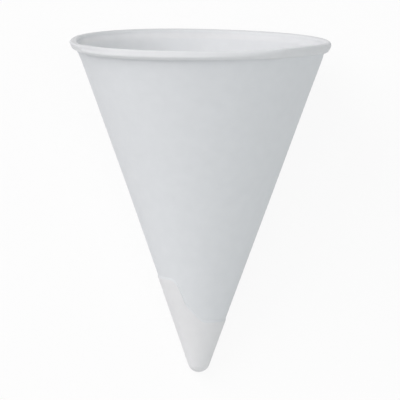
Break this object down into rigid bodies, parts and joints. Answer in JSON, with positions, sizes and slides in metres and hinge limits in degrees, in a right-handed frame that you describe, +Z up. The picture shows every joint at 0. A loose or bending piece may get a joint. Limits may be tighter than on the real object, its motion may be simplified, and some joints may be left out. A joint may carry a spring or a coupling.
{
  "type": "cone paper cup",
  "caption": "Cone-shaped paper cup with a rolled rim, a round closed tip and a glued lap, lying on its side as a water cooler's cup is put down empty.",
  "frame": {"origin": "on the surface that the cup lies on, below the middle of its bounding box", "axes": "+Z up; +Y the way the mouth faces, and the cup's own axis rises 20.3 degrees from +Y; the tip points to -Y; the glued lap is underneath"},
  "size_m": [0.073, 0.0998, 0.0683],
  "materials": {
    "white_paper": "matt, uncoated, bleached white"
  },
  "bodies": {
    "root": {"cone_cup": "white_paper"}
  },
  "joints": []
}
